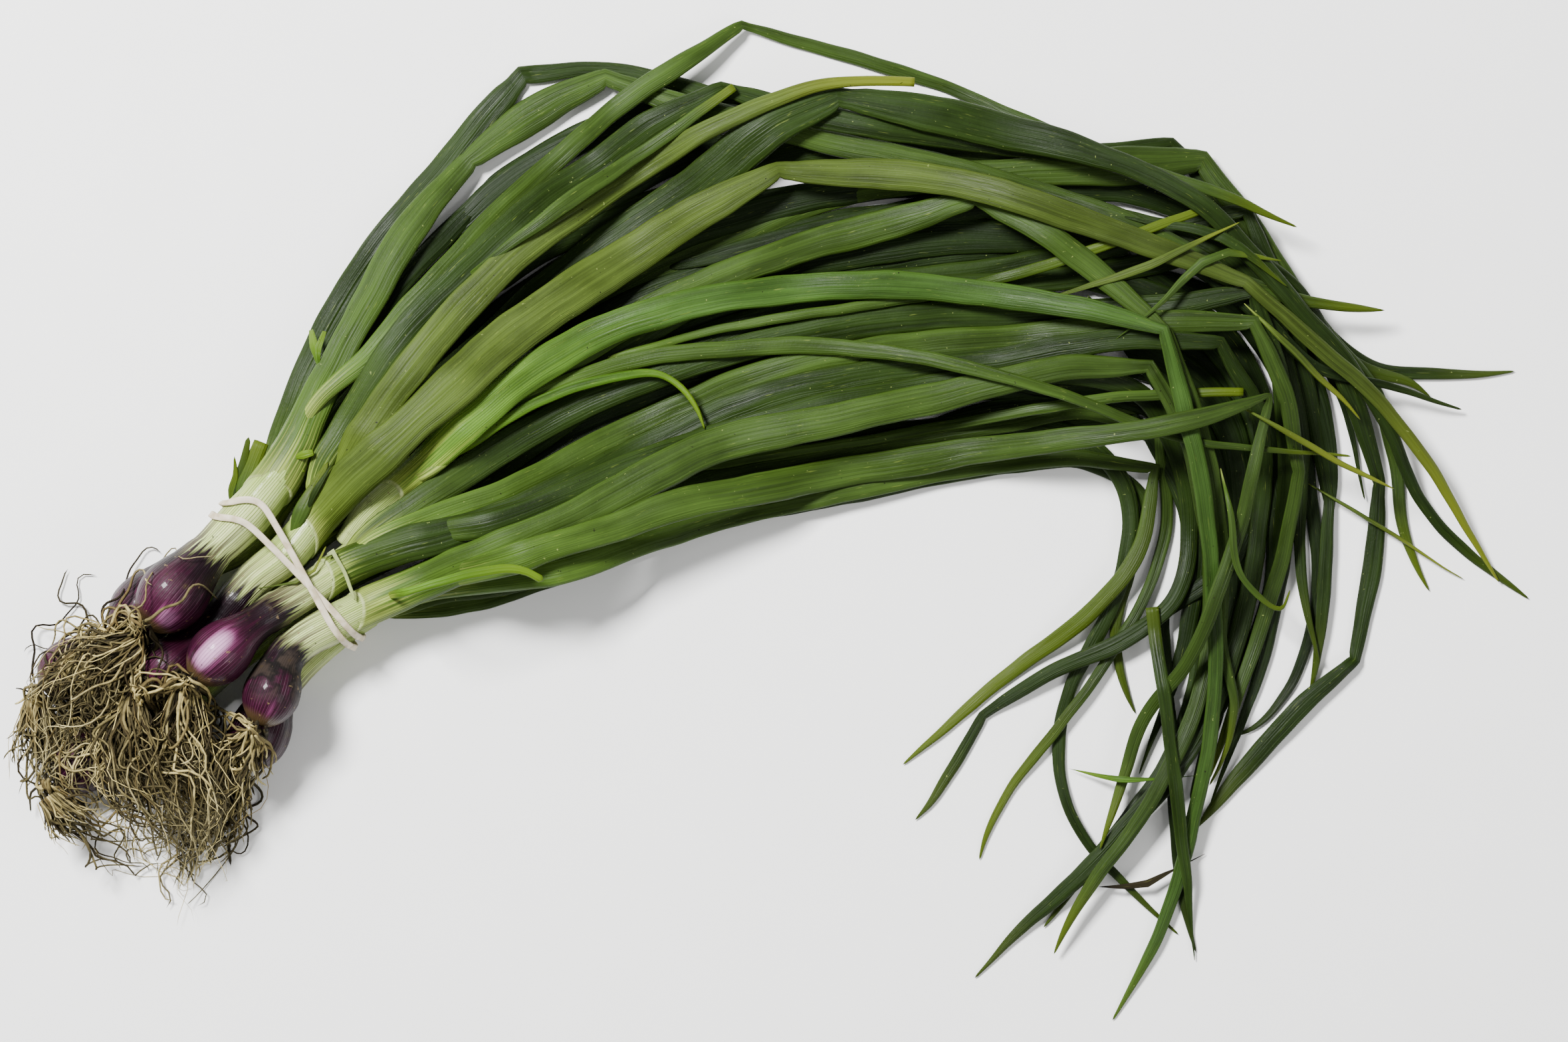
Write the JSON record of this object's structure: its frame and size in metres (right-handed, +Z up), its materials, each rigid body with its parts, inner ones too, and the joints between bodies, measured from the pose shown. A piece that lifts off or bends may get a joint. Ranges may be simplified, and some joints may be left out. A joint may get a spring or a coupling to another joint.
{
  "type": "spring onion bunch",
  "caption": "Bunch of red spring onions lying on its side, with rooted bulbs, long creased hollow leaves and an elastic band wound twice round the shanks.",
  "frame": {"origin": "middle of the bunch's bounding box in plan, at the surface the bunch lies on", "axes": "+X along the leaves, from the roots towards the leaf tips; +Y to the left of it, on the side the leaves bow out to; +Z up off the surface it lies on"},
  "size_m": [0.5032, 0.3336, 0.0455],
  "materials": {
    "onion_skin": "smooth satin skin",
    "pale_stalk": "smooth moist stalk",
    "leaf": "waxy satin leaf",
    "roots": "dry matt fibres",
    "elastic": "satin rubber"
  },
  "bodies": {
    "root": {"onion_e_bulb_and_shank": "onion_skin", "onion_g_bulb_and_shank": "onion_skin", "onion_f_bulb_and_shank": "onion_skin", "onion_h_bulb_and_shank": "onion_skin", "onion_b_bulb_and_shank": "onion_skin", "onion_a_bulb_and_shank": "onion_skin", "onion_c_bulb_and_shank": "onion_skin", "onion_d_bulb_and_shank": "onion_skin", "onion_b_inner_stalk": "pale_stalk", "onion_e_leaf_1": "leaf", "onion_h_leaf_1": "leaf", "onion_h_leaf_2": "leaf", "onion_h_leaf_3": "leaf", "onion_f_leaf_1": "leaf", "onion_h_leaf_4": "leaf", "onion_g_leaf_1": "leaf", "onion_g_leaf_2": "leaf", "onion_e_leaf_2": "leaf", "onion_g_leaf_3": "leaf", "onion_f_leaf_2": "leaf", "onion_a_leaf_1": "leaf", "onion_a_leaf_2": "leaf", "onion_c_leaf_1": "leaf", "onion_c_leaf_2": "leaf", "onion_d_leaf_1": "leaf", "onion_c_leaf_3": "leaf", "onion_a_leaf_3": "leaf", "onion_b_leaf_1": "leaf", "onion_b_leaf_2": "leaf", "onion_e_leaf_3": "leaf", "onion_c_leaf_4": "leaf", "onion_c_leaf_5": "leaf", "onion_d_leaf_2": "leaf", "onion_d_leaf_3": "leaf", "onion_b_inner_leaf_1": "leaf", "onion_b_inner_leaf_2": "leaf", "onion_b_inner_leaf_3": "leaf", "onion_b_inner_leaf_4": "leaf", "onion_e_leaf_4": "leaf", "onion_d_leaf_4": "leaf", "onion_d_leaf_5": "leaf", "onion_b_leaf_3": "leaf", "onion_b_leaf_4": "leaf", "onion_g_leaf_4": "leaf", "onion_h_leaf_5": "leaf", "onion_b_leaf_5": "leaf", "onion_f_leaf_3": "leaf", "onion_f_roots": "roots", "onion_g_roots": "roots", "onion_e_roots": "roots", "onion_h_roots": "roots", "onion_d_roots": "roots", "onion_c_roots": "roots", "onion_b_roots": "roots", "onion_a_roots": "roots", "elastic_band": "elastic"}
  },
  "joints": []
}
